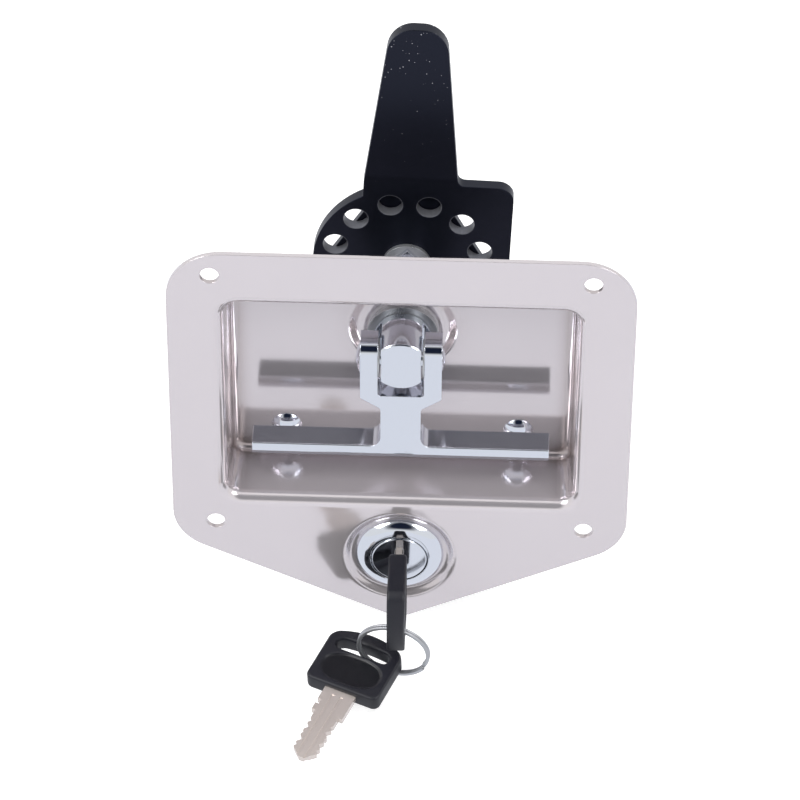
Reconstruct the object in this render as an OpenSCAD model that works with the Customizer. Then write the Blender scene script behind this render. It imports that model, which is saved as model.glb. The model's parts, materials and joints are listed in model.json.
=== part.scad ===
// Recessed folding T-handle latch for a trailer door, with a key cylinder under the recess
// and a perforated cam on the spindle behind it.
// Millimetres. X is to the right, Y goes into the door, Z is up.
// The origin is the centre of the four flange holes, on the flange's rear face.
// A "depth" is counted from the flange's front face, positive into the door.

/* [Flange] */
// width of the flange
flange_w = 141.7; // [134:0.5:160]
// height of the top edge above the hole pattern's centre
flange_top = 57.6; // [56:0.2:66]
// radius of the two top corners
flange_top_r = 17; // [8:0.5:18]
// radius of the two lower corners
flange_low_r = 16; // [8:0.5:18]
// slope of the two lower edges, degrees
flange_slope = 25.5; // [18:0.5:27]
// height at which the two lower edges would meet
flange_apex = -89.2; // [-98:0.2:-88]
// radius of the tip at the bottom
flange_tip_r = 10; // [4:0.5:14]
// thickness of the sheet
sheet = 1.5; // [1:0.1:1.8]
// distance between the bolt holes along X
hole_dx = 115; // [112:0.5:118]
// distance between the bolt holes along Z
hole_dz = 99; // [96:0.5:102]
// diameter of the bolt holes
hole_d = 5.8; // [4:0.1:7]

/* [Recess] */
// width of the recess at the flat of the flange
mouth_w = 114.6; // [110:0.2:116]
// upper edge of the recess at the flat of the flange
mouth_top = 41.6; // [38:0.2:44]
// lower edge of the recess at the flat of the flange
mouth_bottom = -42.6; // [-43:0.2:-39]
// corner radius of the recess at the flat of the flange
mouth_r = 8.5; // [7.5:0.1:12]
// depth of the recess floor
recess_depth = 22.4; // [21.5:0.1:26]
// how far the floor's flat stands in from the mouth
wall_inset = 6.4; // [6:0.1:7.2]
// front radius of the bend at the mouth
lip_r = 3.6; // [2.6:0.1:3.8]
// front radius between wall and floor
floor_r = 2.2; // [1.6:0.1:2.4]

/* [Boss and dish] */
// diameter of the raised boss round the spindle
boss_d = 35.6; // [34:0.2:40]
// height of the boss above the floor
boss_h = 3; // [2:0.1:3.4]
// how far the boss's flat top stands in from its base
boss_inset = 5.5; // [5:0.1:5.6]
// front radius at the foot of the boss
boss_foot_r = 2.4; // [1.5:0.1:2.6]
// front radius at the shoulder of the boss
boss_top_r = 3.4; // [2.4:0.1:3.6]
// diameter of the dish round the lock
dish_d = 36.9; // [36:0.2:38]
// depth of the dish
dish_h = 2; // [1:0.1:2.4]
// how far the dish's flat stands in from its rim
dish_inset = 4; // [3.6:0.1:4]
// front radius of the dish's two bends
dish_r = 2.2; // [1.9:0.1:2.4]

/* [Spindle] */
// height of the spindle's axis
spindle_z = 13.65; // [12:0.1:16]
// depth of the hub's front face
hub_front = 2.3; // [1.5:0.1:3]
// diameter of the hub
hub_d = 17.7; // [16.5:0.1:18.5]
// width of the hub across its two flats
hub_flat = 12.3; // [11:0.1:13]
// diameter of the shank
shank_d = 10; // [9:0.1:11]
// depth of the cam's front face
cam_front = 52.7; // [50:0.2:70]
// width of the square that drives the cam
square_w = 8; // [7:0.1:9]
// width of the square collar in front of the cam's washer
collar_w = 9.8; // [9.2:0.1:10.4]

/* [T-handle] */
// length of the grip bar
bar_l = 91.8; // [80:0.2:93]
// height of the grip bar's upper face
bar_top = -18.6; // [-22:0.2:-14]
// height of the grip bar's section
bar_h = 5.2; // [4:0.1:7]
// thickness of the handle, front to back
handle_t = 8.7; // [8:0.1:9.2]
// outer width of the fork
fork_w = 25; // [23:0.2:28]
// width of the fork's slot
fork_slot = 14.2; // [13.9:0.1:15]
// width of the stem
stem_w = 12.4; // [10:0.1:14]
// radius between stem and grip bar
stem_r = 3.7; // [2:0.1:6]
// diameter of the hinge pin
pin_d = 5; // [4:0.1:6]

/* [Cam] */
// radius of the cam's disc
cam_r = 29.4; // [28:0.2:32]
// thickness of the cam plate
cam_t = 3.8; // [3:0.1:5]
// reach of the square ear to the right of the axis
ear_x = 32; // [30:0.2:35]
// height of the square ear above the axis
ear_z = 31.3; // [30:0.1:32]
// diameter of the circle that the cam's holes lie on
cam_pcd = 46.7; // [45.6:0.1:47.6]
// diameter of the cam's holes
cam_hole_d = 7.7; // [6:0.1:8]
// height of the tongue's bend above the axis
bend_z = 33.3; // [33:0.1:38]
// width of the tongue at the bend
tongue_w = 29.2; // [24:0.2:34]
// length of the tongue above the bend
tongue_l = 50; // [40:0.5:70]
// angle that the tongue is bent back, degrees
tongue_bend = 12; // [5:0.5:25]
// angle that the cam stands clockwise of the handle, degrees
cam_lean = 2; // [0:0.5:4]

/* [Lock] */
// height of the lock's axis
lock_z = -62.6; // [-63.4:0.1:-62.2]
// diameter of the lock's bezel
bezel_d = 27.7; // [26:0.1:28]
// diameter of the plug's face
plug_face_d = 17.4; // [16:0.1:18]
// diameter of the plug's barrel
plug_d = 13; // [12.4:0.1:13.6]
// diameter of the lock body's threaded barrel
barrel_d = 19; // [18.6:0.1:20]
// depth of the barrel's rear end
barrel_rear = 26.5; // [24:0.1:27]
// radius at which the lock's crank pin runs
crank_r = 8.5; // [8:0.1:9]

/* [Keys] */
// width of a key's bow
bow_w = 25; // [23:0.2:28]
// length of a key's bow
bow_l = 20.6; // [20:0.2:24]
// thickness of a key's bow
bow_t = 5.5; // [5:0.1:6]
// distance from the plug's face to the bow of the key in the lock
bow_gap = 9.8; // [8:0.1:12]
// thickness of a key's blade
blade_t = 2; // [1.6:0.1:2.2]
// height of a key's blade
blade_h = 8; // [7:0.1:8.4]
// mean radius of the key ring
ring_r = 11.1; // [10.8:0.1:11.6]

/* [Clearances] */
// radial clearance of turning and seated round parts
run_gap = 0.05; // [0.03:0.01:0.1]
// clearance of sliding parts
slide_gap = 0.3; // [0.2:0.05:0.5]
// gap between faces that turn past each other
face_gap = 0.2; // [0.1:0.05:0.3]

/* [Hidden] */
$fn = 96;

// recess
mouth_h = mouth_top - mouth_bottom;
mouth_z = (mouth_top + mouth_bottom) / 2;
floor_rear = recess_depth + sheet;
lap = 0.5;
hair = 0.0002;
rivet_x = mouth_w / 2 - wall_inset - 14.6;
rivet_z = -28.2;
rivet_shank_r = 2;
rivet_head_r = 4.7;
rivet_head_h = 2.2;
bracket_t = 2;
bracket_rear = floor_rear + bracket_t;
bracket_h = 17;
bracket_margin = 7;

// bush and spindle, front to back
boss_front = recess_depth - boss_h;
boss_rear = boss_front + sheet;
bush_head = boss_front - 2;
bush_r = 8;
bush_rear = floor_rear + 5.1;
nut_t = 5;
hub_rear = bush_head - face_gap;
flat_rear = hub_rear - 1.3;
disc_front = bush_rear + face_gap + 1;
disc_rear = disc_front + 4;
clip_rear = disc_rear + 1.2;
groove_r = shank_d / 2 - 1;
rod_r = shank_d / 2 - 0.5;
washer_front = cam_front - 1.3;
collar_front = washer_front - 1.5;
cam_rear = cam_front + cam_t;
backing_rear = cam_rear + 2.5;
spring_rear = backing_rear + 1.4;
square_rear = backing_rear - 0.2;
bolt_r = 2.5;

// handle
handle_rear = hub_front + handle_t;
pin_depth = hub_front + handle_t / 2;
arm_top = spindle_z + hub_d / 2 - 1.2;
arm_round = 4.6;
slot_bottom = spindle_z - hub_d / 2 - 3;

// lock, front to back
plug_front = -1.5;
bezel_front = plug_front + 0.2;
bezel_r = 5;
plug_rear = barrel_rear + face_gap;
tail_w = 7;
crank_front = plug_rear;
crank_rear = crank_front + 2.5;
bar_front = crank_rear + 1;
bar_t = 3;
bar_rear = bar_front + bar_t;
bar_w = 10;
crank_pin_r = 2.5;
crank_at = 225;
screw_r = 4.4;
bar_travel = crank_r * sqrt(2);
disc_r = 16;
notch_depth = 6;
bar_tip = spindle_z - disc_r + notch_depth - 1 - bar_travel;

// keys
shoulder_h = 10.6;
tang_l = 7;
blade_l = 18;
groove_w = 1;
groove_h = 0.3;
slot_inset = 4.2;
slot_w = 4.4;
slot_l = 18;
wire_w = 1.2;
ring_t = 1.8;
ring_drop = 5.2;
ring_turn = [-80.9, 0, -11.6];
ring_hook = ring_r * [cos(-83.6), sin(-83.6), 0];
ring_hang = ring_r * [cos(136.4), sin(136.4), 0];
spare_turn = [-102.3, -0.4, -89.9];
spare_shift = [1.4, 0, -1.9];

steel = [0.8, 0.79, 0.79];
chrome = [0.86, 0.88, 0.92];
zinc = [0.72, 0.73, 0.75];
black = [0.05, 0.05, 0.055];
plastic = [0.03, 0.03, 0.03];
nickel = [0.75, 0.72, 0.65];

function at(d) = d - sheet;
function unit(v) = v / norm(v);
function dir(a) = [cos(a), sin(a)];

// a polygon, counter-clockwise, with a true arc of its own radius at every corner;
// each arc is a hair larger, so that it crosses the straight sides and doesn't just touch them
module rounded(p, r) {
  n = len(p);
  u = [for (i = [0:n - 1]) unit(p[(i + n - 1) % n] - p[i])];
  w = [for (i = [0:n - 1]) unit(p[(i + 1) % n] - p[i])];
  h = [for (i = [0:n - 1]) acos(u[i] * w[i]) / 2];
  difference() {
    union() {
      polygon([for (i = [0:n - 1]) each r[i] > 0
        ? [p[i] + u[i] * r[i] / tan(h[i]), p[i] + w[i] * r[i] / tan(h[i])] : [p[i]]]);
      for (i = [0:n - 1]) if (r[i] > 0 && cross(w[i], u[i]) > 0)
        translate(p[i] + unit(u[i] + w[i]) * r[i] / sin(h[i])) circle(r[i] + hair);
    }
    for (i = [0:n - 1]) if (r[i] > 0 && cross(w[i], u[i]) < 0)
      translate(p[i] + unit(u[i] + w[i]) * r[i] / sin(h[i])) circle(r[i] + hair);
  }
}

module rect(w, h, r) {
  rounded([[-w / 2, -h / 2], [w / 2, -h / 2], [w / 2, h / 2], [-w / 2, h / 2]], [r, r, r, r]);
}

// a round bar's section with two flats, wide across the flats
module double_d(d, wide) {
  intersection() {
    circle(d = d);
    square([wide, d + 2], center = true);
  }
}

// a plate between two depths, drawn as seen from the front
module slab(d0, d1) {
  translate([0, at(d1), 0]) rotate([90, 0, 0]) linear_extrude(d1 - d0) children();
}

// a body of revolution about an axis along Y, drawn as radius and depth
module spin(z) {
  translate([0, at(0), z]) rotate([-90, 0, 0]) rotate_extrude() children();
}

// the sheet's section where it steps from one level to another, tangent all along:
// what lies behind its front face, less what lies behind its rear face
module s_bend(inset, drop, ra, rb) {
  dy = drop - ra - rb;
  k = tan((atan2(dy, inset) + asin((ra + rb) / norm([inset, dy]))) / 2);
  difference() {
    intersection() {
      translate([-lap, -1]) square([inset + 2 * lap, drop + 20]);
      rounded([[-lap - 1, 0], [ra * k, 0], [inset - rb * k, drop], [inset + lap + 1, drop],
        [inset + lap + 1, drop + 20], [-lap - 1, drop + 20]], [0, ra, rb, 0, 0, 0]);
    }
    translate([0, sheet]) rounded([[-lap - 2, 0], [(ra - sheet) * k, 0],
      [inset - (rb + sheet) * k, drop], [inset + lap + 2, drop], [inset + lap + 2, drop + 21],
      [-lap - 2, drop + 21]], [0, ra - sheet, rb + sheet, 0, 0, 0]);
  }
}

module flange_outline() {
  x = flange_w / 2;
  low = flange_apex + x * tan(flange_slope);
  rounded([[0, flange_apex], [x, low], [x, flange_top], [-x, flange_top], [-x, low]],
    [flange_tip_r, flange_low_r, flange_top_r, flange_top_r, flange_low_r]);
}

module wall_section(half) {
  translate([half, at(0)]) mirror([1, 0]) s_bend(wall_inset, recess_depth, lip_r, floor_r);
}

module recess_wall() {
  for (side = [0, 180]) {
    translate([0, 0, mouth_z]) rotate([0, side, 0])
      linear_extrude(mouth_h - 2 * mouth_r, center = true) wall_section(mouth_w / 2);
    translate([0, 0, mouth_z]) rotate([0, side + 90, 0])
      linear_extrude(mouth_w - 2 * mouth_r, center = true) wall_section(mouth_h / 2);
  }
  for (q = [[1, -1, 0], [-1, -1, 90], [-1, 1, 180], [1, 1, 270]])
    translate([q.x * (mouth_w / 2 - mouth_r), 0, mouth_z + q.y * (mouth_h / 2 - mouth_r)])
      rotate([0, q.z, 0]) rotate([-90, 0, 0]) rotate_extrude(angle = 90) wall_section(mouth_r);
}

module boss() {
  spin(spindle_z) translate([boss_d / 2, floor_rear]) mirror([1, 0]) mirror([0, 1])
    s_bend(boss_inset, boss_h, boss_foot_r + sheet, boss_top_r - sheet);
  slab(boss_front, boss_rear)
    translate([0, spindle_z]) circle(boss_d / 2 - boss_inset - lap / 2);
}

module dish() {
  spin(lock_z) {
    translate([dish_d / 2, 0]) mirror([1, 0]) s_bend(dish_inset, dish_h, dish_r, dish_r);
    translate([0, dish_h]) square([dish_d / 2 - dish_inset - lap / 2, sheet]);
  }
}

module pan() {
  floor_in = 2 * wall_inset + lap;
  color(steel) difference() {
    union() {
      difference() {
        union() {
          slab(0, sheet) difference() {
            flange_outline();
            translate([0, mouth_z]) rect(mouth_w + lap, mouth_h + lap, mouth_r + lap / 2);
          }
          recess_wall();
          slab(recess_depth, floor_rear) difference() {
            translate([0, mouth_z])
              rect(mouth_w - floor_in, mouth_h - floor_in, mouth_r - floor_in / 2);
            translate([0, spindle_z]) circle(d = boss_d + lap);
          }
          boss();
        }
        slab(-1, sheet + 1) translate([0, lock_z]) circle(d = dish_d + lap);
      }
      dish();
    }
    for (x = [-1, 1], z = [-1, 1])
      slab(-1, sheet + 1) translate([x * hole_dx / 2, z * hole_dz / 2]) circle(d = hole_d);
    for (x = [-1, 1])
      slab(recess_depth - 1, floor_rear + 1)
        translate([x * rivet_x, rivet_z]) circle(rivet_shank_r + run_gap);
    slab(boss_front - 1, boss_rear + 1) translate([0, spindle_z]) circle(bush_r + run_gap);
    slab(dish_h - 1, dish_h + sheet + 1)
      translate([0, lock_z]) double_d(barrel_d + 2 * run_gap, barrel_d - 2 + 2 * run_gap);
  }
}

module guide_bracket() {
  foot = rivet_x + bracket_margin;
  stand = bar_rear + slide_gap + 2.5;
  color(zinc) difference() {
    union() {
      slab(floor_rear, bracket_rear) translate([0, rivet_z]) rect(2 * foot, bracket_h, 3);
      for (z = [-1, 1])
        translate([-bar_w / 2 - 6, at(bracket_rear), rivet_z + z * (bracket_h - bracket_t) / 2
          - bracket_t / 2])
          cube([bar_w + 12, stand - bracket_rear, bracket_t]);
    }
    translate([-bar_w / 2 - slide_gap, at(bar_front - slide_gap), rivet_z - bracket_h])
      cube([bar_w + 2 * slide_gap, bar_t + 2 * slide_gap, 2 * bracket_h]);
    for (x = [-1, 1])
      slab(floor_rear - 1, bracket_rear + 1)
        translate([x * rivet_x, rivet_z]) circle(rivet_shank_r + run_gap);
  }
}

// a cap of a sphere, drawn as radius and depth, its flat at depth 0 and its crown at depth h
module cap_section(r, h) {
  ball = (r * r + h * h) / (2 * h);
  intersection() {
    translate([0, h - ball]) circle(ball);
    square([r, h]);
  }
}

module bracket_rivets() {
  color(chrome) for (x = [-1, 1]) translate([x * rivet_x, 0, 0]) spin(rivet_z) {
    translate([0, recess_depth]) mirror([0, 1]) cap_section(rivet_head_r, rivet_head_h);
    translate([0, recess_depth]) square([rivet_shank_r, bracket_rear - recess_depth]);
    translate([0, bracket_rear]) cap_section(rivet_head_r - 0.6, rivet_head_h - 0.5);
  }
}

module spindle_bush() {
  color(zinc) spin(spindle_z) difference() {
    union() {
      translate([0, bush_head]) square([bush_r + 3, boss_front - bush_head]);
      translate([0, bush_head]) square([bush_r, bush_rear - bush_head]);
    }
    translate([0, bush_head - 1]) square([shank_d / 2 + run_gap, bush_rear - bush_head + 2]);
  }
}

// a hexagon between two depths, its corners turned off at both ends
module hexagon(z, d0, d1, across) {
  corner = across / sqrt(3);
  chamfer = (corner - across / 2) * tan(30);
  intersection() {
    slab(d0, d1) translate([0, z]) circle(corner, $fn = 6);
    spin(z) polygon([[0, d0 - 1], [across / 2 - 0.2, d0 - 1], [across / 2 - 0.2, d0],
      [corner + 0.2, d0 + chamfer], [corner + 0.2, d1 - chamfer], [across / 2 - 0.2, d1],
      [across / 2 - 0.2, d1 + 1], [0, d1 + 1]]);
  }
}

module bush_nut() {
  color(zinc) difference() {
    hexagon(spindle_z, boss_rear, boss_rear + nut_t, 21);
    slab(boss_rear - 1, boss_rear + nut_t + 1) translate([0, spindle_z]) circle(bush_r + run_gap);
  }
}

module along_x(z, d) {
  translate([0, at(d), z]) rotate([0, 90, 0]) children();
}

module driver(wide) {
  translate([0, spindle_z]) rotate(45 - cam_lean) square(wide, center = true);
}

module spindle() {
  color(chrome) difference() {
    union() {
      intersection() {
        spin(spindle_z) polygon([[0, hub_front], [hub_d / 2 - 0.4, hub_front],
          [hub_d / 2, hub_front + 0.4], [hub_d / 2, hub_rear], [0, hub_rear]]);
        union() {
          translate([-hub_flat / 2, at(hub_front), 0]) cube([hub_flat, flat_rear - hub_front, 60]);
          slab(flat_rear, hub_rear) translate([0, spindle_z]) circle(d = hub_d);
        }
      }
      slab(hub_rear, disc_front) translate([0, spindle_z]) circle(d = shank_d);
      slab(disc_front, disc_rear) translate([0, spindle_z]) double_d(shank_d, shank_d - 2);
      spin(spindle_z) polygon([[0, disc_rear], [groove_r, disc_rear], [groove_r, clip_rear],
        [shank_d / 2, clip_rear], [shank_d / 2, clip_rear + 1.5], [rod_r, clip_rear + 2],
        [rod_r, collar_front], [0, collar_front]]);
      slab(collar_front, washer_front) driver(collar_w);
      slab(washer_front, square_rear) driver(square_w);
    }
    along_x(spindle_z, pin_depth) cylinder(r = pin_d / 2 + run_gap, h = hub_d + 2, center = true);
    slab(square_rear - 10, square_rear + 1)
      translate([0, spindle_z]) circle(bolt_r + run_gap);
  }
}

module thrust_washer() {
  color(zinc) slab(bush_rear + face_gap, disc_front) translate([0, spindle_z]) difference() {
    circle(bush_r + 1);
    circle(shank_d / 2 + run_gap);
  }
}

module lock_disc() {
  notch = bar_w + 2 * slide_gap + 0.6;
  color(zinc) slab(disc_front, disc_rear) translate([0, spindle_z]) difference() {
    circle(disc_r);
    double_d(shank_d + 2 * run_gap, shank_d - 2 + 2 * run_gap);
    for (a = [-90, 0]) rotate(a)
      translate([disc_r - notch_depth, -notch / 2]) square([notch_depth + 1, notch]);
  }
}

module retaining_clip() {
  color(zinc) slab(disc_rear, clip_rear) translate([0, spindle_z]) difference() {
    circle(shank_d / 2 + 2.4);
    circle(groove_r + run_gap);
    translate([0, groove_r * 1.5]) square([groove_r * 1.5, groove_r * 3], center = true);
  }
}

module cam_washer() {
  color(zinc) slab(washer_front, cam_front) difference() {
    translate([0, spindle_z]) circle(7.6);
    driver(square_w + 2 * run_gap);
  }
}

module cam_outline() {
  t = tongue_w / 2;
  tip = t - tongue_l * 0.12;
  top = bend_z + tongue_l * cos(tongue_bend);
  circle(cam_r);
  rounded([[0, -16], [ear_x, -16], [ear_x, ear_z], [t, ear_z], [tip, top], [-tip, top],
    [-t, ear_z], [-t, 0]], [0, 5, 5, 2.5, tip - 0.4, tip - 0.4, 0, 0]);
}

// all that lies behind a plate's face that is flat up to the bend and leans back above it
module behind_bend(front, bend, r) {
  l = tongue_l + 20;
  low = -2 * cam_r;
  deep = front + 2 * tongue_l;
  rounded([[front, low], [deep, low], [deep, bend + l * cos(tongue_bend)],
    [front + l * sin(tongue_bend), bend + l * cos(tongue_bend)], [front, bend]], [0, 0, 0, 0, r]);
}

module latch_cam() {
  bend_r = 6;
  color(black) translate([0, 0, spindle_z]) rotate([0, cam_lean, 0]) difference() {
    intersection() {
      slab(cam_front - 1, cam_front + 40) cam_outline();
      translate([-50, 0, 0]) rotate([90, 0, 90]) linear_extrude(100) difference() {
        behind_bend(at(cam_front), bend_z, bend_r + cam_t);
        behind_bend(at(cam_rear), bend_z - cam_t * tan(tongue_bend / 2), bend_r);
      }
    }
    slab(cam_front - 1, cam_rear + 1) {
      for (k = [0:11]) translate(cam_pcd / 2 * dir(15 + 30 * k)) circle(d = cam_hole_d);
      rotate(45) square(square_w + 2 * run_gap, center = true);
    }
  }
}

module backing_plate() {
  edge = 20.5;
  color(black) translate([0, 0, spindle_z]) rotate([0, cam_lean, 0]) slab(cam_rear, backing_rear)
    difference() {
      intersection() {
        circle(cam_r - 1);
        polygon([[-cam_r * 2, -edge], [cam_r * 2, -edge],
          [cam_r * 2, edge / sin(30) - cam_r * 2 * tan(60)], [0, edge / sin(30)],
          [-cam_r * 2, edge / sin(30) - cam_r * 2 * tan(60)]]);
      }
      rotate(45) square(square_w + 2 * run_gap, center = true);
    }
}

module spring_washer() {
  color(zinc) slab(backing_rear, spring_rear) translate([0, spindle_z]) difference() {
    circle(6.5);
    circle(bolt_r + run_gap);
  }
}

module cam_bolt() {
  color(zinc) {
    hexagon(spindle_z, spring_rear, spring_rear + 4, 10);
    slab(square_rear - 9, spring_rear + 1) translate([0, spindle_z]) circle(bolt_r);
  }
}

module t_handle() {
  f = fork_w / 2;
  s = fork_slot / 2;
  w = stem_w / 2;
  root = w + stem_r + 1;
  front = at(hub_front);
  rear = at(handle_rear);
  low = bar_top - bar_h;
  foot = bar_top - 0.25;
  neck = slot_bottom - 5.2;
  color(chrome) difference() {
    union() {
      translate([-bar_l / 2, 0, 0]) rotate([90, 0, 90]) linear_extrude(bar_l)
        rounded([[front + 1.2, low], [rear - 1.2, low], [rear, low + 2.2], [rear, bar_top],
          [front, bar_top], [front, low + 2.2]], [for (i = [0:5]) 0.5]);
      intersection() {
        slab(hub_front, handle_rear) rounded([[-root, bar_top - 2], [root, bar_top - 2],
          [root, foot], [w, foot], [w, neck], [f, slot_bottom - 1], [f, arm_top + 1],
          [s, arm_top + 1], [s, slot_bottom], [-s, slot_bottom], [-s, arm_top + 1],
          [-f, arm_top + 1], [-f, slot_bottom - 1], [-w, neck], [-w, foot], [-root, foot]],
          [0, 0, 0, stem_r, 1.5, 1.5, 0, 0, 1, 1, 0, 0, 1.5, 1.5, stem_r, 0]);
        translate([-f - 1, 0, 0]) rotate([90, 0, 90]) linear_extrude(fork_w + 2)
          rounded([[front, low], [rear, low], [rear, arm_top], [front, arm_top]],
            [0, 0, 1, arm_round]);
      }
    }
    along_x(spindle_z, pin_depth) cylinder(r = pin_d / 2 + run_gap, h = fork_w + 2, center = true);
  }
}

module hinge_pin() {
  f = fork_w / 2;
  color(chrome) {
    along_x(spindle_z, pin_depth) rotate_extrude() {
      translate([0, -f]) square([pin_d / 2, fork_w]);
      translate([0, -f]) mirror([0, 1]) cap_section(5, 1.5);
      translate([0, f]) cap_section(3.8, 1);
    }
  }
}

module friction_washers() {
  color(zinc) for (x = [-1, 1])
    along_x(spindle_z, pin_depth) translate([0, 0, x > 0 ? fork_slot / 2 - 0.5 : -fork_slot / 2])
      linear_extrude(0.5) difference() {
        circle(6);
        circle(pin_d / 2 + run_gap);
      }
}

module lock_body() {
  face_r = plug_face_d / 2;
  color(chrome) difference() {
    union() {
      spin(lock_z) intersection() {
        translate([0, bezel_front]) square([bezel_d / 2, dish_h - bezel_front]);
        union() {
          translate([face_r + 1, bezel_front + bezel_r]) circle(bezel_r + hair);
          translate([0, bezel_front]) square([face_r + 1, dish_h - bezel_front]);
        }
      }
      slab(dish_h, barrel_rear) translate([0, lock_z]) double_d(barrel_d, barrel_d - 2);
    }
    slab(plug_front - 1, barrel_rear + 1) translate([0, lock_z]) circle(plug_d / 2 + run_gap);
    slab(plug_front - 1, plug_front + 2.5) translate([0, lock_z]) circle(face_r + 0.35);
  }
}

module lock_nut() {
  front = dish_h + sheet;
  color(zinc) difference() {
    hexagon(lock_z, front, front + nut_t, 24);
    slab(front - 1, front + nut_t + 1) translate([0, lock_z]) circle(barrel_d / 2 + run_gap);
  }
}

wafer_w = 6;
wafer_h = plug_d - 1.8;
wafer_t = 1.2;
wafer_pitch = 3;
wafer_first = plug_front + 5;

module lock_plug() {
  color(chrome) difference() {
    union() {
      spin(lock_z) polygon([[0, plug_front], [plug_face_d / 2 - 0.3, plug_front],
        [plug_face_d / 2, plug_front + 0.3], [plug_face_d / 2, plug_front + 2.3],
        [plug_d / 2, plug_front + 2.3], [plug_d / 2, plug_rear], [0, plug_rear]]);
      slab(plug_rear, crank_rear) translate([0, lock_z]) square(tail_w, center = true);
    }
    slab(plug_front - 1, plug_front + blade_l + 1.5) translate([0, lock_z])
      square([blade_t + 2 * slide_gap, blade_h + 2 * slide_gap], center = true);
    for (k = [0:4]) slab(wafer_first + k * wafer_pitch, wafer_first + k * wafer_pitch + wafer_t)
      translate([0, lock_z]) square([wafer_w, wafer_h], center = true);
    slab(crank_rear - 6, crank_rear + 1) translate([0, lock_z]) circle(2 + run_gap);
  }
}

module lock_wafers() {
  color(nickel) for (k = [0:4])
    slab(wafer_first + k * wafer_pitch, wafer_first + k * wafer_pitch + wafer_t - run_gap)
      translate([0, lock_z]) difference() {
        square([wafer_w - 2 * run_gap, wafer_h - 2 * run_gap], center = true);
        square([blade_t + 2 * slide_gap, blade_h + 2 * slide_gap], center = true);
      }
}

module lock_crank() {
  pin = crank_r * dir(crank_at);
  color(zinc) translate([0, 0, lock_z]) {
    slab(crank_front, crank_rear) difference() {
      union() {
        circle(tail_w);
        translate(pin) circle(crank_pin_r + 1.5);
        rotate(crank_at) translate([0, -crank_pin_r - 0.6]) square([crank_r, 2 * crank_pin_r + 1.2]);
      }
      square(tail_w + 2 * run_gap, center = true);
    }
    slab(crank_rear, bar_rear + 1) translate(pin) circle(crank_pin_r);
  }
}

module crank_screw() {
  color(zinc) translate([0, 0, lock_z]) {
    slab(crank_rear, crank_rear + 2) difference() {
      circle(screw_r);
      square([1, 5], center = true);
      square([5, 1], center = true);
    }
    slab(crank_rear - 5.5, crank_rear) circle(2);
    slab(crank_rear, crank_rear + 0.8) circle(3);
  }
}

module lock_bar() {
  pin = [0, lock_z] + crank_r * dir(crank_at);
  reach = crank_r + crank_pin_r + 1;
  slot_h = 2 * crank_pin_r + 1.2;
  arm_edge = -screw_r - 0.8;
  turn_low = lock_z + 5.6;
  fillet = 2;
  shoulder = rivet_z - bracket_h / 2 - bar_travel - slide_gap - fillet;
  color(zinc) slab(bar_front, bar_rear) difference() {
    rounded([[-bar_w / 2, shoulder], [-reach - 3, shoulder], [-reach - 3, pin.y - 6],
      [arm_edge, pin.y - 6], [arm_edge, turn_low], [bar_w / 2, turn_low],
      [bar_w / 2, bar_tip], [-bar_w / 2, bar_tip]], [fillet, 4, 3, 0, 1, 2, 1.5, 1.5]);
    translate([-reach, pin.y - slot_h / 2]) square([reach + 1, slot_h]);
  }
}

cuts = [0.7, 1.3, 0.5, 1.1, 0.8];

// one key, its blade along +Y from the shoulder at Y = 0, its width along Z
module blade() {
  h = blade_h / 2;
  difference() {
    profile();
    for (s = [-1, 1], z = [-0.36, 0.36])
      translate([s * blade_t / 2 - groove_h, 2 - bow_gap, z * h - groove_w / 2])
        cube([2 * groove_h, bow_gap + blade_l, groove_w]);
  }
}

module profile() {
  h = blade_h / 2;
  rotate([90, 0, 90]) linear_extrude(blade_t, center = true) difference() {
    union() {
      translate([-bow_gap - tang_l, -h + 1]) square([tang_l, blade_h - 2]);
      difference() {
        translate([-bow_gap, -shoulder_h / 2]) square([bow_gap - 0.1, shoulder_h]);
        translate([-bow_gap * 0.45, -shoulder_h / 2 - 1]) square([1.6, 2.2]);
      }
      polygon([[-0.2, -h], [blade_l - 3, -h], [blade_l, -0.8], [blade_l, 0.8], [blade_l - 3, h],
        [-0.2, h]]);
    }
    for (k = [0:4], s = [-1, 1]) translate([4 + k * 2.5, s * h]) rotate(45)
      square((s > 0 ? cuts[k] : cuts[4 - k]) * sqrt(2), center = true);
  }
}

module bow() {
  difference() {
    rotate([90, 0, 90]) linear_extrude(bow_t, center = true)
      translate([-bow_gap - bow_l / 2, 0]) difference() {
        rect(bow_l, bow_w, 2.5);
        translate([-bow_l / 2 + slot_inset, 0]) rect(slot_w, slot_l, slot_w / 2 - 0.05);
      }
    translate([-blade_t / 2, -bow_gap - tang_l, -blade_h / 2 + 1])
      cube([blade_t, tang_l + 1, blade_h - 2]);
    for (s = [-1, 1]) translate([s * bow_t / 2, -bow_gap - bow_l + slot_inset + 8.8, 0])
      rotate([90, 0, 90]) linear_extrude(1.2, center = true) rect(11.2, 20, 5.5);
  }
}

module in_lock() {
  translate([0, at(plug_front), lock_z]) children();
}

// the ring hangs in the bow's slot of the key in the lock
module hooked() {
  in_lock() translate([0, slot_inset - bow_gap - bow_l, -ring_drop]) rotate(ring_turn) children();
}

module on_ring() {
  hooked() translate(ring_hang - ring_hook) rotate(spare_turn)
    translate([0, bow_gap + bow_l - slot_inset, 0] + spare_shift) children();
}

module key_blade() {
  color(nickel) in_lock() blade();
}

module key_bow() {
  color(plastic) in_lock() bow();
}

module key_ring() {
  color(zinc) hooked() translate(-ring_hook) rotate_extrude()
    translate([ring_r, 0]) rect(wire_w, ring_t, 0.4);
}

module spare_blade() {
  color(nickel) on_ring() blade();
}

module spare_bow() {
  color(plastic) on_ring() bow();
}

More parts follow.
